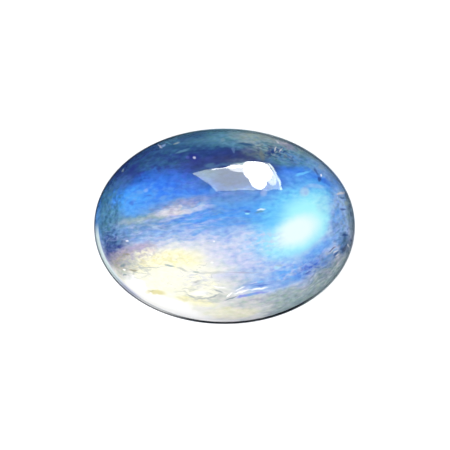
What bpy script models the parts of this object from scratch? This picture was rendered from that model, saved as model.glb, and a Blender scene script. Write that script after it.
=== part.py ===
"""A polished oval cabochon of rainbow moonstone: one stone, lying on its flat back.

Metres, +Z up. The origin is the middle of the flat back, and +X runs along the stone.
"""

import math

import bmesh
import bpy

# The cut stone's size
LENGTH = 0.0160
WIDTH = 0.0120
HEIGHT = 0.0062

# The back is flat, with a bevel ground round it that keeps the thin edge from chipping
BEVEL_INSET = 0.00045
BEVEL_HEIGHT = 0.00045

# Above the bevel stands a thin wall, the girdle, which leans in for a setting to grip
GIRDLE_HEIGHT = 0.00055
GIRDLE_LEAN = 0.00010

# The dome's curve starts this far up its quarter turn, so that it carries on the girdle's lean
DOME_START = math.radians(8)

# The tumbled roundness of the two edges that the bevel makes
EDGE_ROUND = 0.00010
EDGE_STEPS = 2
EDGE_ANGLE = math.radians(30)

# An oval whose power is 2 is an ellipse. A little over 2 gives it fuller shoulders
OUTLINE_POWER = 2.03
DOME_POWER = 2.10

# How finely the faces follow the curves
POINTS_ROUND = 96
DOME_RINGS = 22

STONE_BLUE = (0.26, 0.46, 0.86, 1.0)
STONE_ROUGHNESS = 0.06
STONE_IOR = 1.56


def signed_power(value, power):
    """value to a power, with its sign kept."""
    return math.copysign(abs(value) ** power, value)


def oval(half_length, half_width, z):
    """The points of one level oval ring, anticlockwise from above."""
    bend = 2 / OUTLINE_POWER
    points = []
    for step in range(POINTS_ROUND):
        turn = 2 * math.pi * step / POINTS_ROUND
        x = half_length * signed_power(math.cos(turn), bend)
        y = half_width * signed_power(math.sin(turn), bend)
        points.append((x, y, z))
    return points


def back_rings():
    """The rings of the ground back: the flat's edge, the bevel's top and the girdle's top."""
    half_length = LENGTH / 2
    half_width = WIDTH / 2
    return [
        oval(half_length - BEVEL_INSET, half_width - BEVEL_INSET, 0),
        oval(half_length, half_width, BEVEL_HEIGHT),
        oval(half_length - GIRDLE_LEAN, half_width - GIRDLE_LEAN, BEVEL_HEIGHT + GIRDLE_HEIGHT),
    ]


def dome_rings():
    """The rings of the dome above the girdle, up to the last one below the crown."""
    bend = 2 / DOME_POWER
    foot = BEVEL_HEIGHT + GIRDLE_HEIGHT
    widest = math.cos(DOME_START) ** bend
    lowest = math.sin(DOME_START) ** bend
    half_length = LENGTH / 2 - GIRDLE_LEAN
    half_width = WIDTH / 2 - GIRDLE_LEAN
    rings = []
    for step in range(1, DOME_RINGS):
        climb = DOME_START + (math.pi / 2 - DOME_START) * step / DOME_RINGS
        share = math.cos(climb) ** bend / widest
        rise = (math.sin(climb) ** bend - lowest) / (1 - lowest)
        rings.append(oval(half_length * share, half_width * share, foot + (HEIGHT - foot) * rise))
    return rings


def stone_mesh():
    """The stone's closed surface: a flat back, rings of four-sided faces, and a fan at the crown."""
    shape = bmesh.new()
    rings = []
    for ring in back_rings() + dome_rings():
        rings.append([shape.verts.new(point) for point in ring])
    crown = shape.verts.new((0, 0, HEIGHT))
    shape.faces.new(rings[0][::-1])
    for lower, upper in zip(rings, rings[1:]):
        for here in range(POINTS_ROUND):
            after = (here + 1) % POINTS_ROUND
            shape.faces.new((lower[here], lower[after], upper[after], upper[here]))
    last = rings[-1]
    for here in range(POINTS_ROUND):
        shape.faces.new((last[here], last[(here + 1) % POINTS_ROUND], crown))
    mesh = bpy.data.meshes.new("moonstone")
    shape.to_mesh(mesh)
    shape.free()
    mesh.shade_smooth()
    mesh.set_sharp_from_angle(angle=EDGE_ANGLE)
    return mesh


def stone_material():
    """Polished feldspar with a blue sheen."""
    material = bpy.data.materials.new("moonstone")
    material.use_nodes = True
    surface = material.node_tree.nodes["Principled BSDF"]
    surface.inputs["Base Color"].default_value = STONE_BLUE
    surface.inputs["Roughness"].default_value = STONE_ROUGHNESS
    surface.inputs["Metallic"].default_value = 0
    surface.inputs["IOR"].default_value = STONE_IOR
    return material


def round_edges(stone):
    """Takes the sharpness off the bevel's two edges, as tumbling does."""
    bevel = stone.modifiers.new("edge_round", "BEVEL")
    bevel.width = EDGE_ROUND
    bevel.segments = EDGE_STEPS
    bevel.limit_method = "ANGLE"
    bevel.angle_limit = EDGE_ANGLE


def clear_scene():
    for thing in list(bpy.data.objects):
        bpy.data.objects.remove(thing)


clear_scene()
moonstone = bpy.data.objects.new("moonstone", stone_mesh())
moonstone.data.materials.append(stone_material())
bpy.context.scene.collection.objects.link(moonstone)
round_edges(moonstone)
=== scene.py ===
import math

import bmesh
import bpy
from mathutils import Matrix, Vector, noise


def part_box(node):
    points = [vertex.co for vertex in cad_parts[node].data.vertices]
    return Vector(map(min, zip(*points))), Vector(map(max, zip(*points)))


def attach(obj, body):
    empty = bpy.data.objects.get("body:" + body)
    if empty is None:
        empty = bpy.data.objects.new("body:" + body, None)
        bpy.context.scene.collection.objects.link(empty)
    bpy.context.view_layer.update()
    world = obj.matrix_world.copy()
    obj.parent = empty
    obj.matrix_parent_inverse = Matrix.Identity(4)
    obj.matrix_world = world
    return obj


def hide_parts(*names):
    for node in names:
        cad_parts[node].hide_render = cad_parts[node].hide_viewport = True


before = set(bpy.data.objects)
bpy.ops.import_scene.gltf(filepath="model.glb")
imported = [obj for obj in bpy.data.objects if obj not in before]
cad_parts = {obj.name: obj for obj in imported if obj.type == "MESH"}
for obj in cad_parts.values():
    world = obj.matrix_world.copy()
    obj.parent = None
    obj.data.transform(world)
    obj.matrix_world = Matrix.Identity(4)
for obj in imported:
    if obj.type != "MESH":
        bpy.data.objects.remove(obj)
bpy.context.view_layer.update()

# The moonstone's shape. It is one piece of clear feldspar, sawn to an oval blank, ground to a
# high dome on a wheel and polished. The dome stands on a thin girdle that leans in a little for
# a setting to grip, and the flat back has a ground bevel all round. It lies loose on its back.
MM = 0.001
stone_low, stone_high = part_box("moonstone")
HALF_LENGTH = (stone_high.x - stone_low.x) / 2
HALF_WIDTH = (stone_high.y - stone_low.y) / 2
HEIGHT = stone_high.z - stone_low.z
BEVEL_INSET = 0.45 * MM
BEVEL_HEIGHT = 0.45 * MM
GIRDLE_HEIGHT = 0.55 * MM
GIRDLE_TOP = BEVEL_HEIGHT + GIRDLE_HEIGHT
GIRDLE_LEAN = 0.10 * MM
DOME_START = math.radians(8)
EDGE_ROUND = 0.06 * MM
EDGE_STEPS = 3
EDGE_ANGLE = math.radians(25)
OUTLINE_POWER = 2.03
DOME_POWER = 2.10
POINTS_ROUND = 256
DOME_RINGS = 88
BACK_RINGS = 10
POLISH_WAVE = 0.006 * MM
POLISH_WAVELENGTH = 3.2 * MM


def oval(inset, share, z):
    """The points of one level ring, set in from the outline and then drawn in to a share of its size."""
    points = []
    bend = 2 / OUTLINE_POWER
    for step in range(POINTS_ROUND):
        turn = 2 * math.pi * step / POINTS_ROUND
        lengthwise = math.copysign(abs(math.cos(turn)) ** bend, math.cos(turn))
        crosswise = math.copysign(abs(math.sin(turn)) ** bend, math.sin(turn))
        x = (HALF_LENGTH - inset) * share * lengthwise
        y = (HALF_WIDTH - inset) * share * crosswise
        points.append(Vector((x, y, z)))
    return points


def back_rings():
    """The rings of the flat back, from its middle to its edge."""
    return [oval(BEVEL_INSET, step / BACK_RINGS, 0) for step in range(1, BACK_RINGS + 1)]


def girdle_rings():
    """The top of the bevel, and the top of the girdle that leans in above it."""
    return [oval(0, 1, BEVEL_HEIGHT), oval(GIRDLE_LEAN, 1, GIRDLE_TOP)]


def dome_rings():
    """The rings of the dome, which carries on the girdle's lean, up to just below the crown."""
    bend = 2 / DOME_POWER
    widest = math.cos(DOME_START) ** bend
    lowest = math.sin(DOME_START) ** bend
    rings = []
    for step in range(1, DOME_RINGS):
        climb = DOME_START + (math.pi / 2 - DOME_START) * step / DOME_RINGS
        rise = (math.sin(climb) ** bend - lowest) / (1 - lowest)
        level = GIRDLE_TOP + (HEIGHT - GIRDLE_TOP) * rise
        rings.append(oval(GIRDLE_LEAN, math.cos(climb) ** bend / widest, level))
    return rings


def polish(rings):
    """Lowers the dome here and there by a few thousandths of a millimetre, as hand polishing does."""
    for ring in rings:
        for point in ring:
            low_spot = 0.5 - 0.5 * noise.noise(point / POLISH_WAVELENGTH)
            point.z -= POLISH_WAVE * low_spot


def stone_mesh():
    """One closed surface: a fan and rings for the back, then the bevel, girdle, dome and crown."""
    dome = dome_rings()
    polish(dome)
    shape = bmesh.new()
    rings = [[shape.verts.new(point) for point in ring] for ring in back_rings() + girdle_rings() + dome]
    middle = shape.verts.new((0, 0, 0))
    crown = shape.verts.new((0, 0, HEIGHT - POLISH_WAVE / 2))
    for here in range(POINTS_ROUND):
        after = (here + 1) % POINTS_ROUND
        shape.faces.new((rings[0][after], rings[0][here], middle))
        for inner, outer in zip(rings, rings[1:]):
            shape.faces.new((inner[here], inner[after], outer[after], outer[here]))
        shape.faces.new((rings[-1][here], rings[-1][after], crown))
    mesh = bpy.data.meshes.new("moonstone cut")
    shape.to_mesh(mesh)
    shape.free()
    mesh.shade_smooth()
    mesh.set_sharp_from_angle(angle=EDGE_ANGLE)
    return mesh


stone = bpy.data.objects.new("moonstone_cut", stone_mesh())
bpy.context.scene.collection.objects.link(stone)
edges = stone.modifiers.new("tumbled edges", "BEVEL")
edges.width = EDGE_ROUND
edges.segments = EDGE_STEPS
edges.limit_method = "ANGLE"
edges.angle_limit = EDGE_ANGLE
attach(stone, "root")
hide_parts("moonstone")

# The moonstone's finish. Thin layers inside the feldspar scatter blue light, and this blue sheen
# is painted into the colour: painted shade makes the far side navy, painted light makes the near
# side cream, and a painted blue-white glow sits at one end. Haze and fine streaks run along the
# layers, with a few healed cracks and specks, and the rim has painted light and painted shade.
# The dome is polished, and the rest is left ground.
finish = bpy.data.materials.new("rainbow moonstone")
finish.use_nodes = True
paint = finish.node_tree
# Places and sizes in the finish are in millimetres from the middle of the stone's back
HALF_LENGTH_MM = HALF_LENGTH / MM
HALF_WIDTH_MM = HALF_WIDTH / MM
# The layers run at this angle to the stone's length
LAYER_TILT = math.radians(5)
# A mark's distance from the middle shrinks by this share for each millimetre of height
LAYER_FAN = 0.009
# A cloud of colour goes right through the stone
DEEP = 100.0
# White on the stone comes out this bright, and a colour is given as it is seen there
LIGHT_ON_STONE = 1.1
# The curve between the colours of a screen and the linear ones
FULL = 255
TOE = 0.04045
TOE_SLOPE = 12.92
CURVE_SHIFT = 0.055
CURVE_POWER = 2.4


def tint(red, green, blue):
    """A colour as it is seen on the stone, 0 to 255, turned into the linear colour a shader takes."""
    linear = []
    for part in (red / FULL, green / FULL, blue / FULL):
        curved = ((part + CURVE_SHIFT) / (1 + CURVE_SHIFT)) ** CURVE_POWER
        value = part / TOE_SLOPE if part <= TOE else curved
        linear.append(min(1, value / LIGHT_ON_STONE))
    return (*linear, 1)


INK = tint(10, 14, 28)
NAVY = tint(44, 64, 130)
INDIGO = tint(44, 52, 138)
SLATE = tint(52, 62, 112)
PETROL = tint(50, 88, 132)
TEAL = tint(62, 116, 152)
SEA = tint(96, 146, 172)
SMOKE = tint(150, 172, 176)
PEWTER = tint(116, 138, 152)
STEEL = tint(108, 142, 190)
COBALT = tint(64, 100, 205)
AZURE = tint(54, 126, 240)
SKY = tint(74, 160, 245)
CORNFLOWER = tint(100, 158, 230)
PERIWINKLE = tint(152, 186, 237)
LAVENDER = tint(204, 210, 240)
VIOLET = tint(128, 138, 232)
MAUVE = tint(166, 160, 190)
TAUPE = tint(150, 146, 124)
OLIVE = tint(120, 128, 112)
CYAN = tint(112, 204, 254)
AQUA = tint(170, 248, 254)
ICE = tint(236, 255, 255)
PEACH = tint(236, 222, 212)
PEARL = tint(222, 224, 230)
ASH = tint(184, 190, 188)
CREAM = tint(251, 247, 204)
IVORY = tint(255, 253, 232)
STRAW = tint(228, 220, 160)
WHITE = (1, 1, 1, 1)


def put(tree, kind, inputs, **settings):
    """Adds a node. An input takes a plain value, or another node's output as a link."""
    node = tree.nodes.new(kind)
    for name, value in settings.items():
        setattr(node, name, value)
    for name, value in inputs.items():
        if isinstance(value, bpy.types.NodeSocket):
            tree.links.new(value, node.inputs[name])
        else:
            node.inputs[name].default_value = value
    return node


def work_out(tree, operation, first, second):
    """One step of arithmetic on values."""
    return put(tree, "ShaderNodeMath", {0: first, 1: second}, operation=operation).outputs[0]


def vector_step(tree, operation, inputs, output="Vector"):
    """One step of arithmetic on places or directions."""
    return put(tree, "ShaderNodeVectorMath", inputs, operation=operation).outputs[output]


def fade(tree, value, start, end, reach=1.0):
    """Goes smoothly from 0 where the value is at start to reach where it is at end."""
    inputs = {"Value": value, "From Min": start, "From Max": end, "To Max": reach}
    return put(tree, "ShaderNodeMapRange", inputs, interpolation_type="SMOOTHSTEP").outputs["Result"]


def blend(tree, share, under, over, kind="MIX"):
    """Two colours mixed."""
    inputs = {0: share, 6: under, 7: over}
    return put(tree, "ShaderNodeMix", inputs, data_type="RGBA", blend_type=kind).outputs[2]


def new_group(name, takes, gives):
    """An empty node group with named inputs and outputs, and its two end nodes."""
    group = bpy.data.node_groups.new(name, "ShaderNodeTree")
    for label, kind in takes.items():
        group.interface.new_socket(label, in_out="INPUT", socket_type="NodeSocket" + kind)
    for label, kind in gives.items():
        group.interface.new_socket(label, in_out="OUTPUT", socket_type="NodeSocket" + kind)
    return group, group.nodes.new("NodeGroupInput").outputs, group.nodes.new("NodeGroupOutput").inputs


def cloud_group():
    """Lays one soft-edged oval cloud of colour, of any size and turn, over the colours under it."""
    takes = {
        "Under": "Color", "Over": "Color", "Place": "Vector", "Centre": "Vector",
        "Turn": "Float", "Half Size": "Vector", "Softness": "Float", "Strength": "Float",
    }
    group, given, out = new_group("cloud", takes, {"Colour": "Color", "Mask": "Float"})
    turn = put(group, "ShaderNodeCombineXYZ", {"Z": given["Turn"]}).outputs[0]
    into = {
        "Vector": given["Place"], "Location": given["Centre"], "Rotation": turn, "Scale": given["Half Size"],
    }
    inside = put(group, "ShaderNodeMapping", into, vector_type="TEXTURE").outputs[0]
    distance = vector_step(group, "LENGTH", {0: inside}, "Value")
    starts_at = work_out(group, "ADD", 1.0, given["Softness"])
    full_at = work_out(group, "SUBTRACT", 1.0, given["Softness"])
    mask = fade(group, distance, starts_at, full_at, given["Strength"])
    group.links.new(blend(group, mask, given["Under"], given["Over"]), out["Colour"])
    group.links.new(mask, out["Mask"])
    return group


# The noise swings up and down from this value
NOISE_MIDDLE = 0.5


def layer_noise(group, given):
    """Noise drawn out along the layers, because the place is turned and stretched before it."""
    turn = put(group, "ShaderNodeCombineXYZ", {"Z": given["Turn"]}).outputs[0]
    into = {"Vector": given["Place"], "Rotation": turn, "Scale": given["Grain"]}
    drawn_out = put(group, "ShaderNodeMapping", into, vector_type="TEXTURE").outputs[0]
    look = {
        "Vector": drawn_out, "Scale": 1.0, "Detail": 1.0, "Roughness": 0.5, "Distortion": given["Swirl"],
    }
    return put(group, "ShaderNodeTexNoise", look).outputs[0]


def wisp_group():
    """Long soft streaks that lie along the feldspar's layers: 1 in a streak and 0 between them."""
    takes = {
        "Place": "Vector", "Turn": "Float", "Grain": "Vector", "Swirl": "Float", "Low": "Float",
        "High": "Float",
    }
    group, given, out = new_group("wisps", takes, {"Mask": "Float"})
    streaky = fade(group, layer_noise(group, given), given["Low"], given["High"])
    group.links.new(streaky, out["Mask"])
    return group


def hairline_group():
    """Thin wandering lines, as healed cracks show: 1 on a line and 0 away from it."""
    takes = {"Place": "Vector", "Turn": "Float", "Grain": "Vector", "Swirl": "Float", "Thickness": "Float"}
    group, given, out = new_group("hairlines", takes, {"Mask": "Float"})
    from_middle = work_out(group, "SUBTRACT", layer_noise(group, given), NOISE_MIDDLE)
    from_line = work_out(group, "ABSOLUTE", from_middle, 0.0)
    group.links.new(fade(group, from_line, given["Thickness"], 0.0), out["Mask"])
    return group


def rim_group():
    """A band that follows the outline, between two shares of the way out, strongest at one bearing."""
    takes = {
        "Way Out": "Float", "Bearing": "Vector", "Toward": "Vector", "Ends": "Float", "Full": "Float",
        "Inner": "Float", "Outer": "Float", "Edge": "Float",
    }
    group, given, out = new_group("rim band", takes, {"Mask": "Float"})
    inner, outer, edge = given["Inner"], given["Outer"], given["Edge"]
    near = vector_step(group, "DOT_PRODUCT", {0: given["Bearing"], 1: given["Toward"]}, "Value")
    arc = fade(group, near, given["Ends"], given["Full"])
    inside = fade(group, given["Way Out"], work_out(group, "SUBTRACT", inner, edge), inner)
    outside = fade(group, given["Way Out"], work_out(group, "ADD", outer, edge), outer)
    across = work_out(group, "MULTIPLY", inside, outside)
    group.links.new(work_out(group, "MULTIPLY", across, arc), out["Mask"])
    return group


cloud = cloud_group()
wisp = wisp_group()
hairline = hairline_group()
rim_band = rim_group()

in_metres = put(paint, "ShaderNodeTexCoord", {}).outputs["Object"]
spot = vector_step(paint, "MULTIPLY", {0: in_metres, 1: (1 / MM,) * 3})
height = put(paint, "ShaderNodeSeparateXYZ", {0: spot}).outputs["Z"]
fan_out = put(paint, "ShaderNodeMath", {0: height, 1: LAYER_FAN, 2: 1.0}, operation="MULTIPLY_ADD").outputs[0]
place = vector_step(paint, "SCALE", {0: spot, "Scale": fan_out})


def swing(scale, detail, roughness):
    """Noise that moves a place about, to either side of where it was."""
    look = {"Vector": place, "Scale": scale, "Detail": detail, "Roughness": roughness}
    moved = put(paint, "ShaderNodeTexNoise", look).outputs["Color"]
    return vector_step(paint, "SUBTRACT", {0: moved, 1: (NOISE_MIDDLE,) * 3})


wander = swing(scale=0.9, detail=3.0, roughness=0.55)
jitter = swing(scale=2.6, detail=1.0, roughness=0.4)

shares_out = vector_step(paint, "MULTIPLY", {0: spot, 1: (1 / HALF_LENGTH_MM, 1 / HALF_WIDTH_MM, 0)})
way_out = vector_step(paint, "LENGTH", {0: shares_out}, "Value")
heading = vector_step(paint, "NORMALIZE", {0: shares_out})

CRUMB = 0.14
LEAST_FRAY = 0.9
MOST_FRAY = 1.1


def frayed(reach, under=NAVY, crumb=CRUMB):
    """The place moved about by the noise, a little further over pale stone, for uneven edges."""
    paleness = put(paint, "ShaderNodeRGBToBW", {0: under}).outputs[0]
    limits = {"Value": paleness, "To Min": LEAST_FRAY * reach, "To Max": MOST_FRAY * reach}
    reach_here = put(paint, "ShaderNodeMapRange", limits).outputs[0]
    roughly = vector_step(paint, "MULTIPLY_ADD", {0: wander, 1: reach_here, 2: place})
    return vector_step(paint, "MULTIPLY_ADD", {0: jitter, 1: (crumb,) * 3, 2: roughly})


def one_cloud(under, colour, where, centre, half, turn, softness, strength=1.0):
    """One cloud, by its centre and half sizes in millimetres and its turn in degrees."""
    given = {
        "Under": under, "Over": colour, "Place": where, "Centre": (*centre, 0),
        "Turn": math.radians(turn), "Half Size": (*half, DEEP), "Softness": softness, "Strength": strength,
    }
    return put(paint, "ShaderNodeGroup", given, node_tree=cloud)


def patch(where, centre, half, turn, softness):
    """The mask of one oval patch, given as a cloud is."""
    return one_cloud(WHITE, WHITE, where, centre, half, turn, softness).outputs["Mask"]


def clouds(under, softness, fray, spots):
    """Lays clouds one over another. Each is its colour, centre, half sizes, turn and strength."""
    where = frayed(fray, under)
    for colour, centre, half, turn, strength in spots:
        under = one_cloud(under, colour, where, centre, half, turn, softness, strength).outputs["Colour"]
    return under


def wisps(where, turn, grain, swirl, low, high):
    """A mask of streaks, by their turn, their length, width and depth, and how much they swirl."""
    given = {
        "Place": where, "Turn": math.radians(turn), "Grain": grain, "Swirl": swirl, "Low": low, "High": high,
    }
    return put(paint, "ShaderNodeGroup", given, node_tree=wisp).outputs["Mask"]


def hairlines(where, turn, grain, swirl, thickness):
    """A mask of cracks, by their turn, their length, width and depth, their swirl and their thickness."""
    given = {
        "Place": where, "Turn": math.radians(turn), "Grain": grain, "Swirl": swirl, "Thickness": thickness,
    }
    return put(paint, "ShaderNodeGroup", given, node_tree=hairline).outputs["Mask"]


GRAIN_FRAY = 0.6
GRAIN_CRUMB = 0.06
GRAIN_DEPTH = 0.6
GRAIN_SWIRL = 0.15
GRAIN_BLUR = 0.15
PATCH_SOFTNESS = 0.6
# Nearly all of the noise lies in this span under this top
NOISE_TOP = 0.68
NOISE_SPAN = 0.36


def grains(under, colour, centre, half, turn, size, share, strength):
    """Blotches or streaks of a colour in one oval part of the stone. They cover about a share of it."""
    where = frayed(GRAIN_FRAY, under, GRAIN_CRUMB)
    inside = patch(where, centre, half, turn, PATCH_SOFTNESS)
    middle = NOISE_TOP - NOISE_SPAN * share
    grain = (*size, GRAIN_DEPTH)
    spots = wisps(where, turn, grain, GRAIN_SWIRL, middle - GRAIN_BLUR, middle + GRAIN_BLUR)
    return lay(under, colour, both(inside, spots), strength)


def grain_beds(under, beds):
    """Grains one over another. Each is its colour, centre, half sizes, turn, size, share and strength."""
    for bed in beds:
        under = grains(under, *bed)
    return under


def band(bearing, spread, inner, outer, edge):
    """A mask of part of the rim, by its bearing and spread in degrees and its shares of the way out."""
    turn = math.radians(bearing)
    ends = math.cos(math.radians(spread))
    full = math.cos(math.radians(spread / 2))
    given = {
        "Way Out": way_out, "Bearing": heading, "Toward": (math.cos(turn), math.sin(turn), 0),
        "Ends": ends, "Full": full, "Inner": inner, "Outer": outer, "Edge": edge,
    }
    return put(paint, "ShaderNodeGroup", given, node_tree=rim_band).outputs["Mask"]


def both(first, second):
    """Where two masks meet."""
    return work_out(paint, "MULTIPLY", first, second)


def lay(under, colour, mask, strength):
    """A colour laid through a mask."""
    return blend(paint, both(mask, strength), under, colour)


BODY_FRAY = 0.9


def body():
    """The body from the far long side to the near one: teal, navy, azure, lavender, then grey-white. Painted
    shade darkens it towards the far side and painted light pales it towards the near side.
    """
    across_layers = (-math.sin(LAYER_TILT), math.cos(LAYER_TILT), 0)
    way_across = vector_step(paint, "DOT_PRODUCT", {0: frayed(BODY_FRAY), 1: across_layers}, "Value")
    share = {"Value": way_across, "From Min": HALF_WIDTH_MM, "From Max": -HALF_WIDTH_MM}
    ramp = put(paint, "ShaderNodeValToRGB", {0: put(paint, "ShaderNodeMapRange", share).outputs[0]})
    bands = [
        (0.02, SEA), (0.07, TEAL), (0.14, NAVY), (0.20, NAVY), (0.28, AZURE), (0.38, CORNFLOWER),
        (0.47, CORNFLOWER), (0.53, PERIWINKLE), (0.60, LAVENDER), (0.70, PEARL), (0.97, PEARL),
    ]
    stops = ramp.color_ramp.elements
    stops[0].position, stops[0].color = bands[0]
    stops[1].position, stops[1].color = bands[-1]
    for position, colour in bands[1:-1]:
        stops.new(position).color = colour
    return ramp.outputs["Color"]


def far_shade(under):
    """Painted shade along the far rim in navy and teal, greyer towards the right."""
    under = clouds(under, softness=0.6, fray=0.8, spots=[
        (NAVY, (-5.7, 3.6), (2.6, 0.75), 38, 0.95),
        (PETROL, (-4.3, 4.0), (1.3, 0.4), 18, 0.9),
        (COBALT, (-3.8, 3.6), (1.5, 0.35), 8, 0.35),
        (NAVY, (-2.7, 3.8), (1.1, 0.4), 0, 0.8),
        (NAVY, (-0.9, 4.3), (2.6, 0.45), 3, 0.95),
        (NAVY, (1.0, 3.1), (2.6, 0.95), 3, 0.95),
        (SLATE, (1.0, 4.2), (1.4, 0.5), 2, 0.95),
        (PETROL, (-1.8, 5.0), (2.0, 0.35), 8, 0.9),
        (SEA, (-0.2, 5.45), (2.2, 0.35), 3, 0.8),
        (PETROL, (-1.8, 5.55), (1.2, 0.2), 10, 0.6),
        (NAVY, (-2.3, 5.45), (0.9, 0.2), 13, 0.5),
        (TEAL, (-3.8, 3.8), (1.2, 0.35), 10, 0.45),
        (SEA, (-1.2, 3.2), (0.7, 0.4), 0, 0.3),
        (AZURE, (-4.0, 3.2), (1.3, 0.35), 12, 0.35),
        (SEA, (0.8, 5.15), (1.2, 0.3), 0, 0.8),
    ])
    return clouds(under, softness=0.5, fray=0.6, spots=[
        (SMOKE, (2.1, 5.4), (1.6, 0.4), -8, 0.95),
        (SEA, (2.4, 4.75), (0.5, 0.6), -10, 0.85),
        (PETROL, (3.2, 4.5), (0.8, 0.3), -15, 0.8),
        (SEA, (4.4, 4.5), (1.3, 0.3), -28, 0.95),
        (MAUVE, (3.8, 5.0), (0.6, 0.15), -25, 0.8),
        (TEAL, (3.9, 4.0), (0.9, 0.3), -12, 0.9),
        (SEA, (5.3, 4.0), (1.0, 0.4), -35, 0.95),
        (STEEL, (6.3, 3.35), (0.9, 0.3), -50, 0.9),
        (PEWTER, (1.8, 4.65), (0.7, 0.4), -6, 0.55),
        (OLIVE, (2.2, 4.5), (0.4, 0.4), 0, 0.4),
        (PEWTER, (1.0, 3.95), (0.7, 0.25), 0, 0.3),
        (SMOKE, (5.0, 4.4), (0.8, 0.22), -32, 0.35),
        (ASH, (2.6, 5.45), (1.1, 0.2), -13, 0.45),
        (CORNFLOWER, (4.9, 3.8), (1.5, 0.4), -24, 0.55),
        (SEA, (3.6, 3.9), (1.3, 0.3), -12, 0.5),
        (PERIWINKLE, (5.7, 3.65), (0.9, 0.3), -35, 0.3),
        (SEA, (0.4, 3.8), (1.4, 0.12), 6, 0.35),
    ])


def azure_sheen_and_rim_shade(under):
    """The painted blue sheen: azure on the left, a smaller patch at the right, and cornflower between."""
    under = clouds(under, softness=0.7, fray=0.6, spots=[
        (AZURE, (-4.0, 2.45), (1.5, 0.7), 12, 0.9),
        (SKY, (-5.7, 1.55), (1.2, 0.7), 22, 0.85),
        (AZURE, (-1.8, 2.3), (0.9, 0.5), 5, 0.4),
        (STEEL, (-1.9, 2.55), (0.9, 0.3), 5, 0.35),
        (AZURE, (4.3, 3.2), (1.0, 0.4), 2, 0.9),
        (SKY, (5.0, 2.8), (1.1, 0.3), -8, 0.85),
        (SKY, (1.7, 1.15), (1.6, 0.4), 4, 0.7),
        (STEEL, (0.2, 1.7), (1.6, 0.35), 0, 0.4),
        (CORNFLOWER, (0.0, 1.0), (1.8, 0.4), 0, 0.8),
        (PERIWINKLE, (0.8, 2.1), (1.4, 0.16), 2, 0.35),
        (CORNFLOWER, (4.4, 2.8), (1.3, 0.6), -5, 0.5),
        (CORNFLOWER, (-6.2, 2.7), (0.6, 0.35), 35, 0.3),
        (SMOKE, (-4.7, 0.15), (1.8, 0.5), 5, 0.55),
    ])
    # Painted shade in teal and navy along the left rim, with pale steel and pearl bands inside it
    return clouds(under, softness=0.6, fray=0.5, spots=[
        (TEAL, (-7.35, 1.5), (0.35, 0.8), -8, 0.85),
        (SEA, (-6.9, 0.7), (0.6, 0.5), 0, 0.7),
        (TEAL, (-7.35, -0.1), (0.4, 0.7), 8, 0.9),
        (SEA, (-6.0, 0.1), (0.9, 0.4), 5, 0.5),
        (STEEL, (-4.6, -0.2), (2.8, 0.9), 4, 0.4),
        (STEEL, (-6.3, -0.8), (0.9, 0.35), 8, 0.9),
        (NAVY, (-7.0, -1.5), (0.45, 0.9), 25, 0.85),
        (PETROL, (-6.2, -1.0), (0.8, 0.35), 12, 0.65),
        (NAVY, (-7.0, -2.1), (0.25, 0.45), 25, 0.5),
        (CORNFLOWER, (-5.0, -0.75), (0.9, 0.15), 8, 0.6),
        (PERIWINKLE, (-3.6, -0.4), (1.8, 0.25), 4, 0.6),
        (PEARL, (-3.4, -0.95), (2.2, 0.35), 4, 0.6),
    ])


def pale_streaks(under):
    """The long peach streak in the blue, and the pale cyan one that leads into it."""
    under = clouds(under, softness=0.7, fray=0.5, spots=[
        (SEA, (-5.0, 0.5), (1.6, 0.25), 8, 0.7),
        (ASH, (-5.0, 0.42), (1.4, 0.16), 8, 0.5),
        (STEEL, (-3.3, 1.35), (1.3, 0.25), 14, 0.6),
        (MAUVE, (-2.2, 1.45), (1.2, 0.25), 14, 0.4),
        (PEARL, (-3.0, 0.95), (1.2, 0.22), 10, 0.5),
        (PEACH, (-3.1, 0.85), (0.9, 0.16), 9, 0.6),
        (LAVENDER, (-1.4, 1.15), (0.7, 0.1), 6, 0.6),
        (LAVENDER, (-3.5, 0.45), (0.6, 0.08), 14, 0.6),
        (STEEL, (-0.6, 0.9), (0.9, 0.25), 5, 0.4),
        (SKY, (-2.2, 0.35), (1.2, 0.14), 5, 0.5),
        (PERIWINKLE, (-2.5, 0.0), (1.6, 0.18), 4, 0.5),
    ])
    return grain_beds(under, [
        (PEARL, (-2.8, 1.0), (1.5, 0.3), 10, (0.4, 0.12), 0.5, 0.7),
        (SMOKE, (-4.6, 0.5), (1.6, 0.3), 8, (0.5, 0.14), 0.5, 0.6),
        (MAUVE, (-2.8, 1.2), (1.6, 0.4), 12, (0.4, 0.12), 0.4, 0.5),
    ])


def right_wash(under):
    """The paler sky blue of the right half, under and around the glow."""
    return clouds(under, softness=0.7, fray=0.7, spots=[
        (PERIWINKLE, (3.0, -2.2), (2.7, 1.5), 12, 0.9),
        (LAVENDER, (1.3, -2.1), (1.1, 0.6), 0, 0.7),
        (LAVENDER, (2.6, -1.1), (1.7, 0.9), 8, 0.9),
        (CYAN, (4.4, 1.5), (1.9, 0.9), 12, 0.8),
        (CYAN, (2.9, -0.9), (1.4, 0.9), 10, 0.5),
        (CORNFLOWER, (2.4, 0.5), (1.4, 0.35), 5, 0.6),
        (LAVENDER, (3.5, -2.3), (1.4, 0.9), 15, 0.5),
        (CYAN, (2.8, 0.5), (1.0, 0.6), 10, 0.5),
        (CORNFLOWER, (2.1, -3.6), (1.2, 0.3), 10, 0.7),
        (PERIWINKLE, (3.3, -3.7), (1.2, 0.35), 12, 0.7),
        (LAVENDER, (3.0, -1.6), (1.8, 0.65), 5, 0.75),
    ])


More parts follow.
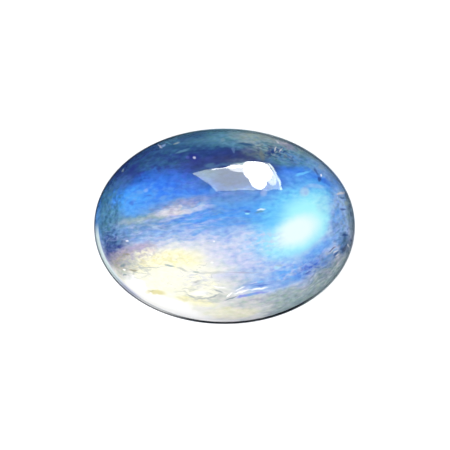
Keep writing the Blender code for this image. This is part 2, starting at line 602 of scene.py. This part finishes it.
def glow(under):
    """A painted blue-white glow near the right end, where the layers turn the light straight back, with blue
    and grey along the rim beside it.
    """
    under = clouds(under, softness=0.5, fray=0.3, spots=[
        (CYAN, (4.2, -0.1), (2.4, 1.7), 34, 0.9),
        (AQUA, (4.9, 0.55), (1.45, 1.2), 35, 0.95),
        (AQUA, (3.7, -0.9), (1.5, 0.85), 20, 0.95),
        (AQUA, (4.8, -0.9), (1.0, 0.5), 30, 0.6),
        (AQUA, (5.9, 0.6), (0.5, 1.4), 0, 0.6),
        (ICE, (4.4, -0.3), (1.4, 0.8), 28, 1.0),
    ])
    return clouds(under, softness=0.35, fray=0.3, spots=[
        (PERIWINKLE, (7.1, 0.5), (0.6, 1.8), 2, 0.95),
        (CORNFLOWER, (6.9, 0.4), (0.25, 0.9), 0, 0.8),
        (PEWTER, (7.75, 0.9), (0.25, 1.5), 4, 0.75),
        (PERIWINKLE, (6.6, -0.7), (0.8, 0.3), 14, 0.7),
        (CORNFLOWER, (7.0, 0.3), (0.4, 0.9), 0, 0.6),
        (PERIWINKLE, (7.1, -0.3), (0.45, 0.6), 0, 0.6),
        (PERIWINKLE, (6.1, 1.3), (0.5, 0.5), 0, 0.3),
    ])


def near_side(under):
    """Blue that turns grey towards the near rim on the right, with a teal shade at the end."""
    under = clouds(under, softness=0.7, fray=0.7, spots=[
        (SKY, (5.7, -1.55), (1.3, 0.3), 36, 0.75),
        (COBALT, (5.3, -2.4), (0.9, 0.3), 35, 0.65),
        (PERIWINKLE, (5.0, -2.2), (0.6, 0.5), 35, 0.3),
        (CORNFLOWER, (4.5, -3.15), (1.0, 0.25), 20, 0.8),
        (SKY, (3.5, -2.85), (0.6, 0.25), 20, 0.6),
    ])
    return clouds(under, softness=0.4, fray=0.6, spots=[
        (SMOKE, (5.8, -3.9), (2.3, 0.75), 38, 0.95),
        (SMOKE, (4.0, -4.9), (1.5, 0.55), 20, 0.9),
        (STEEL, (6.3, -2.2), (1.1, 0.35), 42, 0.9),
        (STEEL, (5.0, -3.45), (0.7, 0.2), 32, 0.5),
        (PEWTER, (6.4, -2.7), (1.0, 0.22), 44, 0.8),
        (PETROL, (7.35, -1.15), (0.4, 0.55), -10, 0.8),
        (PETROL, (7.05, -1.8), (0.35, 0.3), 50, 0.4),
        (SMOKE, (7.4, -2.1), (0.7, 0.2), 58, 0.7),
        (ASH, (1.6, -4.9), (1.8, 0.6), 6, 0.5),
        (SMOKE, (3.6, -4.2), (1.3, 0.4), 16, 0.8),
        (ASH, (1.8, -4.4), (1.4, 0.3), 8, 0.3),
    ])


def cream_light(under):
    """Painted light: the cream and ivory flank at the lower left, where the light that went in comes out
    again.
    """
    under = clouds(under, softness=0.5, fray=0.8, spots=[
        (PEARL, (-2.9, -1.35), (2.7, 0.35), 4, 0.9),
        (IVORY, (-3.2, -3.4), (3.3, 1.8), -4, 1.0),
        (MAUVE, (-5.6, -1.45), (1.3, 0.3), 16, 0.9),
        (TAUPE, (-6.1, -2.3), (0.7, 0.7), 20, 0.75),
    ])
    under = clouds(under, softness=0.4, fray=0.7, spots=[
        (CREAM, (-3.5, -2.1), (2.1, 0.65), 4, 0.95),
        (IVORY, (-3.4, -3.4), (2.6, 1.0), -6, 1.0),
        (WHITE, (-3.4, -4.9), (2.7, 0.5), -20, 0.8),
        (WHITE, (-5.4, -3.6), (1.0, 0.4), -40, 0.9),
        (IVORY, (-1.2, -3.4), (1.0, 0.6), 0, 0.7),
        (CREAM, (-1.6, -4.6), (1.3, 0.25), -8, 0.8),
        (CREAM, (0.4, -5.3), (1.6, 0.35), 4, 0.5),
    ])
    return clouds(under, softness=0.5, fray=0.5, spots=[
        (STRAW, (-3.6, -2.0), (1.2, 0.35), 4, 0.25),
        (STRAW, (-5.4, -2.2), (0.6, 0.4), 0, 0.35),
        (STRAW, (-2.4, -4.5), (0.5, 0.16), -5, 0.4),
        (LAVENDER, (0.2, -3.1), (1.0, 0.25), 0, 0.8),
        (ASH, (-0.2, -4.4), (0.7, 0.2), 10, 0.6),
        (PEARL, (-1.6, -3.5), (0.4, 0.12), 15, 0.7),
        (ASH, (-5.8, -2.2), (0.6, 0.35), 10, 0.7),
        (ASH, (-6.1, -3.0), (0.5, 0.2), -30, 0.5),
        (ASH, (0.6, -3.5), (0.9, 0.4), 5, 0.3),
    ])


def streaks(under):
    """Fine streaks along the layers, nearly level, and steeper ones that follow the rim at the right."""
    return grain_beds(under, [
        (LAVENDER, (-3.2, -0.1), (3.6, 0.8), 7, (0.9, 0.16), 0.36, 0.45),
        (CORNFLOWER, (-2.8, -0.3), (3.6, 0.8), 3, (1.1, 0.18), 0.40, 0.5),
        (AZURE, (-1.5, 0.6), (2.4, 0.4), 9, (0.7, 0.12), 0.34, 0.5),
        (STEEL, (-4.8, -0.3), (1.8, 0.6), 6, (0.8, 0.14), 0.45, 0.5),
        (SKY, (0.6, 0.6), (2.6, 0.7), 3, (1.1, 0.2), 0.45, 0.6),
        (LAVENDER, (0.6, -0.8), (2.0, 0.6), 4, (0.9, 0.22), 0.45, 0.5),
        (SKY, (1.4, -1.3), (2.0, 0.9), 5, (0.6, 0.22), 0.40, 0.15),
        (LAVENDER, (1.2, -1.6), (2.0, 0.9), 5, (0.5, 0.2), 0.40, 0.45),
        (CYAN, (2.3, -1.0), (1.2, 0.7), 20, (0.35, 0.2), 0.5, 0.35),
        (LAVENDER, (2.2, -0.9), (1.2, 0.6), 10, (0.3, 0.18), 0.45, 0.6),
        (PEARL, (6.0, -3.1), (2.2, 0.6), 40, (0.7, 0.14), 0.4, 0.35),
        (PEWTER, (6.2, -3.0), (2.2, 0.7), 42, (0.6, 0.14), 0.45, 0.5),
    ])


def mottle(under):
    """Small uneven blotches: dark ones along the far rim and at both ends, pale ones in the blue."""
    return grain_beds(under, [
        (TEAL, (-3.2, 4.6), (3.2, 0.8), 14, (0.5, 0.2), 0.42, 0.5),
        (NAVY, (-1.6, 4.2), (3.4, 0.7), 6, (0.4, 0.18), 0.42, 0.6),
        (INDIGO, (-3.8, 3.9), (2.2, 0.6), 25, (0.3, 0.2), 0.35, 0.5),
        (SEA, (3.4, 4.6), (2.4, 0.6), -22, (0.4, 0.16), 0.42, 0.6),
        (SLATE, (3.1, 4.5), (1.6, 0.5), -12, (0.28, 0.14), 0.40, 0.8),
        (SMOKE, (3.0, 4.8), (1.6, 0.5), -18, (0.3, 0.08), 0.35, 0.6),
        (CORNFLOWER, (-4.6, 1.9), (1.8, 0.7), 12, (0.4, 0.22), 0.35, 0.5),
        (COBALT, (-2.4, 2.8), (1.0, 0.7), -20, (0.4, 0.22), 0.5, 0.6),
        (PETROL, (-7.0, 1.0), (0.6, 1.8), -4, (0.2, 0.3), 0.45, 0.7),
        (SEA, (-7.1, 1.0), (0.5, 1.6), -4, (0.3, 0.3), 0.40, 0.6),
        (NAVY, (-6.8, -1.0), (0.7, 0.8), 20, (0.26, 0.18), 0.42, 0.7),
        (PEWTER, (7.2, 1.0), (0.6, 1.9), 4, (0.26, 0.3), 0.4, 0.5),
        (PERIWINKLE, (6.8, 0.4), (0.6, 1.4), 10, (0.35, 0.25), 0.4, 0.4),
        (PETROL, (7.3, -0.9), (0.6, 0.9), 30, (0.4, 0.16), 0.45, 0.5),
        (COBALT, (5.2, -2.5), (1.0, 0.5), 32, (0.28, 0.12), 0.42, 0.6),
        (SKY, (4.0, -2.8), (1.2, 0.5), 20, (0.3, 0.2), 0.42, 0.6),
        (SKY, (3.1, -2.2), (1.3, 0.7), 20, (0.35, 0.2), 0.42, 0.25),
        (TEAL, (-6.9, 1.6), (0.7, 1.2), -10, (0.3, 0.3), 0.4, 0.6),
        (CORNFLOWER, (6.2, -1.6), (1.2, 0.5), 38, (0.4, 0.16), 0.45, 0.6),
    ])


HAZE_SIZE = (0.42, 0.22, 0.4)
HAZE_HUE = 0.3
HAZE_CONTRAST = 2.2
HAZE_SHARE = 0.3
GLOW_CENTRE = (4.3, -0.2)
GLOW_HALF = (2.0, 1.6)
GLOW_TURN = 30
GLOW_SOFTNESS = 0.3


def haze(under):
    """Uneven haze through the whole stone but its glow: small soft blotches, longer along the layers."""
    turn = {"Vector": place, "Rotation": (0, 0, LAYER_TILT), "Scale": HAZE_SIZE}
    stretched = put(paint, "ShaderNodeMapping", turn, vector_type="TEXTURE").outputs[0]
    look = {"Vector": stretched, "Scale": 1.0, "Detail": 2.0, "Roughness": 0.5}
    soft = put(paint, "ShaderNodeTexNoise", look).outputs
    mostly_grey = blend(paint, HAZE_HUE, soft["Fac"], soft["Color"])
    stronger = {0: mostly_grey, 1: (HAZE_CONTRAST,) * 3, 2: ((1 - HAZE_CONTRAST) / 2,) * 3}
    blotches = vector_step(paint, "MULTIPLY_ADD", stronger)
    bright = patch(place, GLOW_CENTRE, GLOW_HALF, GLOW_TURN, GLOW_SOFTNESS)
    return blend(paint, fade(paint, bright, 1.0, 0.0, HAZE_SHARE), under, blotches, "OVERLAY")


THREAD_SIZE = (1.5, 0.34, 0.4)
THREAD_TURN = -4
THREAD_SWIRL = 0.6
THREAD_THICKNESS = 0.018


def cracks(under):
    """Healed cracks and grains in the cream flank: grey-green threads, and crumbs of white and mauve."""
    under = grain_beds(under, [
        (STRAW, (-4.2, -2.0), (2.0, 0.6), 4, (0.3, 0.18), 0.4, 0.4),
        (MAUVE, (-5.4, -1.7), (1.4, 0.5), 16, (0.25, 0.15), 0.5, 0.7),
        (IVORY, (-3.6, -2.2), (2.0, 0.8), 4, (0.25, 0.14), 0.38, 0.7),
        (ASH, (-5.5, -2.6), (1.0, 0.5), -12, (0.4, 0.10), 0.4, 0.8),
        (ASH, (-1.4, -4.1), (1.5, 0.5), -6, (0.5, 0.12), 0.38, 0.7),
        (PEARL, (-1.4, -3.2), (1.6, 0.5), -8, (0.5, 0.14), 0.4, 0.8),
    ])
    where = frayed(0.5, under)
    flank = patch(where, (-2.6, -2.9), (3.4, 1.0), THREAD_TURN, 0.5)
    threads = hairlines(where, THREAD_TURN, THREAD_SIZE, THREAD_SWIRL, THREAD_THICKNESS)
    return lay(under, ASH, both(flank, threads), 0.6)


def far_marks(under):
    """Specks, short dashes and small arcs in the navy and the grey of the far side."""
    under = clouds(under, softness=0.5, fray=0.15, spots=[
        (LAVENDER, (-3.98, 4.93), (0.16, 0.05), -35, 0.7),
        (PERIWINKLE, (-3.75, 4.97), (0.14, 0.05), 30, 0.7),
        (SEA, (-3.5, 5.12), (0.25, 0.04), -25, 0.8),
        (SMOKE, (-2.95, 5.12), (0.2, 0.05), 20, 0.8),
        (SEA, (-2.6, 4.62), (0.4, 0.07), 20, 0.7),
        (INDIGO, (-1.85, 4.2), (0.35, 0.25), 0, 0.7),
        (LAVENDER, (-1.85, 4.2), (0.09, 0.08), 0, 0.95),
        (INDIGO, (-5.6, 3.6), (0.4, 0.12), 40, 0.6),
        (SMOKE, (-6.25, 3.42), (0.06, 0.12), -40, 0.6),
        (VIOLET, (-2.25, 4.22), (0.12, 0.1), 0, 0.2),
        (SMOKE, (-0.1, 5.3), (0.12, 0.1), 0, 0.3),
        (STEEL, (0.55, 4.68), (0.1, 0.15), 10, 0.5),
        (SEA, (-0.9, 3.78), (0.3, 0.12), 10, 0.4),
    ])
    return clouds(under, softness=0.5, fray=0.15, spots=[
        (PETROL, (1.3, 5.05), (0.5, 0.08), -8, 0.9),
        (OLIVE, (2.3, 4.35), (0.12, 0.35), 15, 0.5),
        (SMOKE, (2.1, 4.98), (0.2, 0.07), 10, 0.8),
        (NAVY, (2.98, 4.6), (0.12, 0.08), 20, 0.8),
        (NAVY, (2.7, 4.52), (0.2, 0.1), 0, 0.7),
        (NAVY, (3.3, 4.7), (0.14, 0.05), -20, 0.8),
        (NAVY, (3.68, 4.55), (0.12, 0.05), 20, 0.7),
        (PEARL, (3.1, 4.76), (0.04, 0.14), -20, 0.8),
        (PEARL, (3.45, 4.68), (0.16, 0.04), 50, 0.7),
        (PEARL, (3.25, 5.2), (0.14, 0.04), -40, 0.7),
        (PEARL, (3.7, 5.12), (0.2, 0.04), -20, 0.6),
        (SMOKE, (4.65, 4.7), (0.25, 0.05), -30, 0.7),
    ])


def right_marks(under):
    """Marks at the right end: a white dot, a small ring in the glow, and dark flecks at the rim."""
    under = clouds(under, softness=0.5, fray=0.15, spots=[
        (CYAN, (4.8, 3.25), (0.45, 0.08), 18, 0.8),
        (PEARL, (4.9, 2.12), (0.26, 0.3), 0, 0.35),
        (PERIWINKLE, (4.98, 2.05), (0.08, 0.12), 0, 0.6),
        (LAVENDER, (5.6, 2.45), (0.6, 0.12), -5, 0.25),
        (NAVY, (5.85, 2.92), (0.1, 0.16), 10, 0.8),
        (NAVY, (5.62, 3.4), (0.06, 0.26), 30, 0.6),
        (WHITE, (5.95, 3.15), (0.06, 0.07), 0, 0.9),
        (SMOKE, (5.95, 3.65), (0.22, 0.12), -40, 0.5),
        (COBALT, (6.3, 2.7), (0.3, 0.1), -35, 0.5),
    ])
    return clouds(under, softness=0.5, fray=0.15, spots=[
        (NAVY, (7.5, 1.92), (0.12, 0.2), 20, 0.7),
        (PETROL, (7.25, 1.76), (0.2, 0.05), -10, 0.8),
        (PEACH, (7.15, 2.05), (0.28, 0.06), 8, 0.6),
        (NAVY, (7.3, 1.05), (0.16, 0.06), 0, 0.7),
        (SMOKE, (7.5, 1.42), (0.14, 0.12), 30, 0.8),
        (NAVY, (7.68, 1.22), (0.06, 0.1), 0, 0.7),
        (NAVY, (7.78, 0.8), (0.06, 0.16), 0, 0.7),
        (NAVY, (7.4, -0.55), (0.18, 0.07), 10, 0.7),
        (NAVY, (7.76, -0.85), (0.07, 0.16), 20, 0.7),
        (INK, (7.35, -1.4), (0.2, 0.1), 50, 0.5),
        (PEARL, (7.62, -1.2), (0.04, 0.12), 20, 0.7),
    ])


def middle_marks(under):
    """Short bright and dark dashes in the middle of the blue."""
    under = clouds(under, softness=0.5, fray=0.12, spots=[
        (COBALT, (1.4, 0.93), (0.2, 0.07), 0, 0.8),
        (AQUA, (1.4, 0.76), (0.15, 0.05), 0, 0.8),
        (SEA, (2.15, 0.9), (0.26, 0.05), 8, 0.8),
        (ICE, (2.25, 1.03), (0.25, 0.05), 5, 0.85),
        (LAVENDER, (2.4, 2.05), (0.2, 0.2), 0, 0.35),
        (CORNFLOWER, (-1.8, -0.5), (0.22, 0.06), 5, 0.8),
        (WHITE, (-0.65, -0.95), (0.06, 0.05), 0, 0.6),
        (WHITE, (-5.95, -0.9), (0.08, 0.05), 0, 0.7),
    ])
    return clouds(under, softness=0.6, fray=0.15, spots=[
        (CORNFLOWER, (-5.2, 2.1), (0.2, 0.13), 10, 0.7),
        (PERIWINKLE, (-4.85, 2.22), (0.14, 0.1), 10, 0.5),
        (CORNFLOWER, (-3.8, 1.75), (0.22, 0.12), 20, 0.8),
        (COBALT, (-5.7, 1.4), (0.14, 0.11), 0, 0.6),
        (COBALT, (-4.65, 1.9), (0.16, 0.06), 0, 0.6),
        (STEEL, (-4.45, 1.02), (0.16, 0.08), 0, 0.7),
        (CORNFLOWER, (-0.7, 2.2), (0.2, 0.14), 20, 0.7),
        (INDIGO, (-6.4, -1.25), (0.3, 0.1), 10, 0.5),
    ])


def cream_marks(under):
    """Cracks and grains in the cream: grey dashes, a brown-yellow mark and white grains."""
    under = clouds(under, softness=0.5, fray=0.15, spots=[
        (ASH, (-4.6, -2.52), (0.9, 0.03), 2, 0.8),
        (SMOKE, (-3.35, -2.43), (0.28, 0.06), -8, 0.85),
        (ASH, (-2.6, -2.62), (0.3, 0.07), -20, 0.7),
        (TAUPE, (-5.6, -2.7), (0.26, 0.06), 0, 0.8),
        (TAUPE, (-5.95, -1.72), (0.12, 0.07), 10, 0.8),
        (PEWTER, (-6.25, -2.4), (0.16, 0.09), 20, 0.8),
        (PEWTER, (-6.15, -3.0), (0.12, 0.05), 0, 0.7),
        (WHITE, (-6.15, -2.66), (0.07, 0.05), 0, 0.9),
        (PEACH, (-4.5, -1.5), (0.3, 0.1), 20, 0.5),
        (SMOKE, (-1.72, -2.8), (0.2, 0.06), 0, 0.8),
        (ASH, (-0.8, -2.85), (0.8, 0.08), 0, 0.5),
        (WHITE, (-0.75, -2.2), (0.09, 0.05), 0, 0.7),
    ])
    return clouds(under, softness=0.5, fray=0.15, spots=[
        (STRAW, (-4.2, -4.06), (0.55, 0.15), -4, 0.9),
        (WHITE, (-4.5, -4.12), (0.08, 0.05), 0, 0.8),
        (OLIVE, (-4.45, -3.96), (0.2, 0.03), 0, 0.4),
        (ASH, (-2.0, -4.3), (0.3, 0.05), -25, 0.9),
        (ASH, (-1.4, -4.43), (0.4, 0.05), 6, 0.9),
        (PEWTER, (-0.7, -4.3), (0.35, 0.05), 18, 0.6),
        (PEWTER, (-0.35, -3.98), (0.3, 0.05), -25, 0.6),
        (WHITE, (-0.3, -3.75), (0.35, 0.05), -10, 0.9),
        (WHITE, (-1.5, -4.1), (0.5, 0.12), 0, 0.6),
        (TAUPE, (-1.7, -3.4), (0.22, 0.05), 15, 0.35),
    ])


def near_marks(under):
    """The pair of white streaks near the edge, with violet under them, and flecks to their right."""
    under = clouds(under, softness=0.5, fray=0.12, spots=[
        (VIOLET, (1.1, -4.27), (0.35, 0.08), 12, 0.8),
        (CORNFLOWER, (1.7, -4.15), (0.4, 0.07), 10, 0.8),
        (VIOLET, (2.2, -4.05), (0.4, 0.06), 6, 0.7),
        (COBALT, (2.3, -3.63), (0.5, 0.05), 6, 0.6),
        (PEWTER, (0.4, -4.4), (0.4, 0.04), 22, 0.8),
        (WHITE, (0.3, -4.2), (0.22, 0.05), 40, 1.0),
        (WHITE, (1.05, -4.03), (0.45, 0.05), 14, 0.9),
        (WHITE, (2.1, -3.82), (0.5, 0.05), 8, 0.85),
        (WHITE, (0.95, -3.83), (0.3, 0.04), 22, 0.8),
        (LAVENDER, (1.85, -3.45), (0.35, 0.04), 12, 0.7),
        (CYAN, (2.2, -3.4), (0.2, 0.05), 5, 0.6),
    ])
    return clouds(under, softness=0.5, fray=0.15, spots=[
        (SMOKE, (3.35, -2.42), (0.22, 0.05), 10, 0.4),
        (AQUA, (3.2, -2.55), (0.2, 0.08), 10, 0.3),
        (MAUVE, (1.1, -2.85), (1.0, 0.04), 0, 0.5),
        (COBALT, (5.3, -2.5), (0.16, 0.06), 30, 0.8),
        (INDIGO, (5.12, -2.86), (0.18, 0.05), 30, 0.5),
        (COBALT, (5.6, -2.3), (0.12, 0.05), 40, 0.8),
        (PERIWINKLE, (5.15, -2.3), (0.14, 0.05), 30, 0.7),
        (NAVY, (6.6, -1.42), (0.25, 0.05), 38, 0.8),
        (PEARL, (6.8, -1.55), (0.16, 0.035), 38, 0.9),
        (NAVY, (6.85, -1.68), (0.2, 0.05), 38, 0.7),
        (PEARL, (6.95, -1.78), (0.14, 0.035), 38, 0.8),
        (MAUVE, (2.0, -4.5), (0.5, 0.08), 4, 0.4),
    ])


# A band that ends at this share of the way out covers all of the edge
PAST_EDGE = 1.02


def edge_light_and_shade(under):
    """Painted light inside the rim: a bright crescent at the left, a thin grey line of painted shade after
    it, and a grey edge of painted shade at the right end.
    """
    bands = [
        (PEWTER, (20, 75, 0.975, PAST_EDGE, 0.03), 0.5),
        (WHITE, (240, 42, 0.955, PAST_EDGE, 0.015), 0.9),
        (LAVENDER, (215, 16, 0.957, 0.985, 0.014), 0.8),
        (ICE, (198, 21, 0.96, 0.985, 0.015), 0.95),
        (PEWTER, (235, 34, 0.968, 0.971, 0.006), 0.6),
    ]
    for colour, along_rim, strength in bands:
        under = lay(under, colour, band(*along_rim), strength)
    return under


# Heights in millimetres between which each part of the lower stone fades in
BEVEL_TOP_MM = BEVEL_HEIGHT / MM
DOME_FOOT_MM = GIRDLE_TOP / MM
WALL_FOOT = (BEVEL_TOP_MM - 0.11, BEVEL_TOP_MM - 0.03)
WALL_HEAD = (DOME_FOOT_MM + 0.12, DOME_FOOT_MM + 0.02)
PALE_FOOT = (BEVEL_TOP_MM + 0.35, BEVEL_TOP_MM + 0.01)
BACK_EDGE = (BEVEL_TOP_MM + 0.01, BEVEL_TOP_MM - 0.09)
POLISH_EDGE = (DOME_FOOT_MM - 0.06, DOME_FOOT_MM + 0.02)
WALL_BAND = (0.9, PAST_EDGE, 0.01)
# Painted shade for the girdle wall round its left end
WALL_LEFT_SHADE = tint(72, 96, 130)
WALL_NEAR_SHADE = tint(40, 46, 54)
WALL_FAR_SHADE = tint(24, 30, 56)
LINE_SIZE = (0.9, 0.9, 0.06)


def girdle(under):
    """The girdle's ground wall, with painted shade on it: slate blue at the left end, nearly black on both
    sides of it, and a painted black line of shade along the near edge. Level grinding lines run round
    it, and its foot is a little paler."""
    above_back = fade(paint, height, *WALL_FOOT)
    wall = both(above_back, fade(paint, height, *WALL_HEAD))
    under = lay(under, WALL_LEFT_SHADE, both(wall, band(180, 60, *WALL_BAND)), 0.9)
    under = lay(under, WALL_NEAR_SHADE, both(wall, band(235, 50, *WALL_BAND)), 0.9)
    under = lay(under, WALL_FAR_SHADE, both(wall, band(138, 44, *WALL_BAND)), 0.9)
    # A painted black line of shade along the near edge of the stone
    under = lay(under, INK, both(above_back, band(280, 40, 0.972, PAST_EDGE, 0.006)), 0.98)
    lines = wisps(spot, 0, LINE_SIZE, 0.0, 0.35, 0.65)
    under = lay(under, PEWTER, both(wall, lines), 0.22)
    return lay(under, PEWTER, both(wall, fade(paint, height, *PALE_FOOT)), 0.35)


MILKY = tint(206, 214, 228)


def back(under):
    """The ground bevel and the flat back: the same colours, seen through a milky ground face."""
    return lay(under, MILKY, fade(paint, height, *BACK_EDGE), 0.55)


WAVE_SCALE = 1.7
WAVE_DEPTH = 0.005
GRINDING_TURN = math.radians(24)
GRINDING_SIZE = (6.0, 0.07, 1.0)
GRINDING_DEPTH = 0.006


def relief():
    """Faint waves that hand polishing leaves on the dome, and the grinding marks of the flat back."""
    waves = put(paint, "ShaderNodeTexNoise", {
        "Vector": spot, "Scale": WAVE_SCALE, "Detail": 1.0, "Roughness": 0.4,
    }).outputs["Fac"]
    scratch = {"Vector": spot, "Rotation": (0, 0, GRINDING_TURN), "Scale": GRINDING_SIZE}
    lengthways = put(paint, "ShaderNodeMapping", scratch, vector_type="TEXTURE").outputs[0]
    marks = put(paint, "ShaderNodeTexNoise", {"Vector": lengthways, "Scale": 1.0, "Detail": 2.0})
    depth = both(marks.outputs["Fac"], fade(paint, height, *BACK_EDGE, GRINDING_DEPTH))
    together = {0: waves, 1: WAVE_DEPTH, 2: depth}
    surface = put(paint, "ShaderNodeMath", together, operation="MULTIPLY_ADD").outputs[0]
    return put(paint, "ShaderNodeBump", {"Height": surface, "Distance": MM}).outputs["Normal"]


colour = body()
for part_of_finish in (
    far_shade, azure_sheen_and_rim_shade, pale_streaks, right_wash, glow, near_side, cream_light, streaks, mottle, haze,
    cracks, far_marks, right_marks, middle_marks, cream_marks, near_marks, edge_light_and_shade, girdle, back,
):
    colour = part_of_finish(colour)

GROUND = 0.35
POLISHED = 0.03
FELDSPAR_IOR = 1.53
CLARITY = 0.15
shader = paint.nodes["Principled BSDF"]
paint.links.new(colour, shader.inputs["Base Color"])
ground_up_to, polished_from = POLISH_EDGE
dullness = put(paint, "ShaderNodeMapRange", {
    "Value": height, "From Min": ground_up_to, "From Max": polished_from,
    "To Min": GROUND, "To Max": POLISHED,
}).outputs["Result"]
paint.links.new(dullness, shader.inputs["Roughness"])
paint.links.new(relief(), shader.inputs["Normal"])
shader.inputs["IOR"].default_value = FELDSPAR_IOR
shader.inputs["Transmission Weight"].default_value = CLARITY
stone.data.materials.append(finish)

# The table: a plain sheet of matt white card, larger than any view of the stone, which lies loose
# on it. A faint light of its own keeps the card white right up to the stone.
CARD_SIDE = 2.0
CARD_GAP = 0.01 * MM
CARD_WHITE = 0.9
CARD_GLOW = 0.2
CARD_DULLNESS = 0.8
CARD_GLOSS = 0.1
card_mesh = bpy.data.meshes.new("white card")
half_card = CARD_SIDE / 2
corners = [(x, y, 0) for x in (-half_card, half_card) for y in (-half_card, half_card)]
card_mesh.from_pydata(corners, [], [(0, 2, 3, 1)])
card = bpy.data.objects.new("white_card", card_mesh)
card.location.z = -CARD_GAP
card_finish = bpy.data.materials.new("white card")
card_finish.use_nodes = True
card_look = card_finish.node_tree.nodes["Principled BSDF"].inputs
card_look["Base Color"].default_value = (CARD_WHITE, CARD_WHITE, CARD_WHITE, 1)
card_look["Emission Color"].default_value = (1, 1, 1, 1)
card_look["Emission Strength"].default_value = CARD_GLOW
card_look["Roughness"].default_value = CARD_DULLNESS
card_look["Specular IOR Level"].default_value = CARD_GLOSS
card_mesh.materials.append(card_finish)
bpy.context.scene.collection.objects.link(card)
card.visible_glossy = False

# The light: soft boxes overhead and on four sides, which the polish doesn't mirror, and a window
# in the far wall, which it does. Its grey panes lean in their frame. Bright sky with haze round
# it stands in them, and the sill and the jamb catch the light.
AIM = Vector((0, 0, 3 * MM))
WALL = 0.5
BOX_DISTANCE = 0.8
SIDE_CLIMB = math.radians(24)
CLEAR_SKY = (1, 1, 1)
GREY_SKY = (0.9, 1, 0.8)


def lamp(name, middle, size, radiance, shape="RECTANGLE"):
    """An area light of an even radiance, where 1 is as bright as a white card."""
    light = bpy.data.lights.new(name, "AREA")
    light.shape = shape
    light.size, light.size_y = size
    light.energy = radiance * math.pi * size[0] * size[1]
    holder = bpy.data.objects.new(name, light)
    holder.location = middle
    holder.visible_camera = False
    bpy.context.scene.collection.objects.link(holder)
    return holder


def soft_box(name, bearing, climb, distance, size, radiance):
    """A soft box that faces the stone, by its bearing and its height above the table."""
    level = distance * math.cos(climb)
    middle = (level * math.cos(bearing), level * math.sin(bearing), distance * math.sin(climb))
    holder = lamp(name, middle, size, radiance)
    holder.rotation_euler = (AIM - holder.location).to_track_quat("-Z", "Y").to_euler()
    holder.visible_glossy = False


def window(name, across, up, lean, size, radiance, shape="RECTANGLE", proud=0.0, tone=CLEAR_SKY):
    """A part of the window, by its place across the wall and up it, its lean, and how far it stands out."""
    holder = lamp(name, (across, WALL - proud, up), size, radiance, shape)
    holder.data.color = tone
    holder.rotation_euler = (math.radians(-90), math.radians(lean), 0)
    holder.visible_diffuse = False


soft_box("ceiling", 0, math.radians(90), BOX_DISTANCE, (1.4, 1.4), 1.4)
for side in range(4):
    soft_box("side box %d" % side, math.radians(90 * side), SIDE_CLIMB, BOX_DISTANCE, (1.0, 0.6), 1.25)
soft_box("fill card", math.radians(205), math.radians(8), 0.7, (1.2, 0.4), 1.5)
window("left pane", 0.094, 0.363, 16, (0.430, 0.425), 6.8, tone=GREY_SKY)
window("left pane end", 0.048, 0.378, 23, (0.288, 0.424), 6.8, tone=GREY_SKY)
window("right pane", 0.247, 0.252, 32, (0.183, 0.466), 6.8, tone=GREY_SKY)
window("haze left", 0.070, 0.170, 20, (0.105, 0.115), 8.6, "ELLIPSE", 0.005)
window("haze along the sill", 0.060, 0.150, 22, (0.130, 0.032), 13, "ELLIPSE", 0.008)
window("haze right", 0.275, 0.240, 25, (0.080, 0.270), 7.4, "ELLIPSE", 0.005)
window("bright sky low", 0.152, 0.101, 0, (0.132, 0.132), 22, "ELLIPSE", 0.01)
window("bright sky", 0.182, 0.214, 11, (0.168, 0.325), 22, "ELLIPSE", 0.01)
window("bright sky high", 0.206, 0.351, 19, (0.120, 0.329), 22, "ELLIPSE", 0.01)
window("sill", 0.03, 0.160, 22, (0.19, 0.014), 13, "RECTANGLE", 0.01)
window("jamb", 0.317, 0.209, 32, (0.018, 0.44), 9, "RECTANGLE", 0.01, GREY_SKY)

# The room round the lights is dim, and below the table there is no light.
ROOM_LIGHT = 0.2
HORIZON_BLUR = 0.05
world = bpy.data.worlds.new("dim room")
world.use_nodes = True
bpy.context.scene.world = world
room = world.node_tree
aim = put(room, "ShaderNodeTexCoord", {}).outputs["Generated"]
above_table = put(room, "ShaderNodeSeparateXYZ", {0: aim}).outputs["Z"]
sky = room.nodes["Background"].inputs
sky["Color"].default_value = (1, 1, 1, 1)
room.links.new(fade(room, above_table, -HORIZON_BLUR, HORIZON_BLUR, ROOM_LIGHT), sky["Strength"])

bpy.context.scene.view_settings.view_transform = "Standard"

# The camera looks straight down on the stone, as the photograph does. The frame's width is
# measured at the height that the camera is set for, a little above the stone's widest line.
FRAME_WIDTH = 27.44 * MM
FRAME_LEVEL = 0.8 * MM
AIM_X = 0.03 * MM
AIM_Y = 0.08 * MM
LENS = 150
SENSOR = 36
camera = bpy.data.cameras.new("camera")
camera.lens = LENS
camera.sensor_width = SENSOR
camera.clip_start = 1 * MM
viewer = bpy.data.objects.new("camera", camera)
viewer.location = (AIM_X, AIM_Y, FRAME_WIDTH * LENS / SENSOR + FRAME_LEVEL)
bpy.context.scene.collection.objects.link(viewer)
bpy.context.scene.camera = viewer
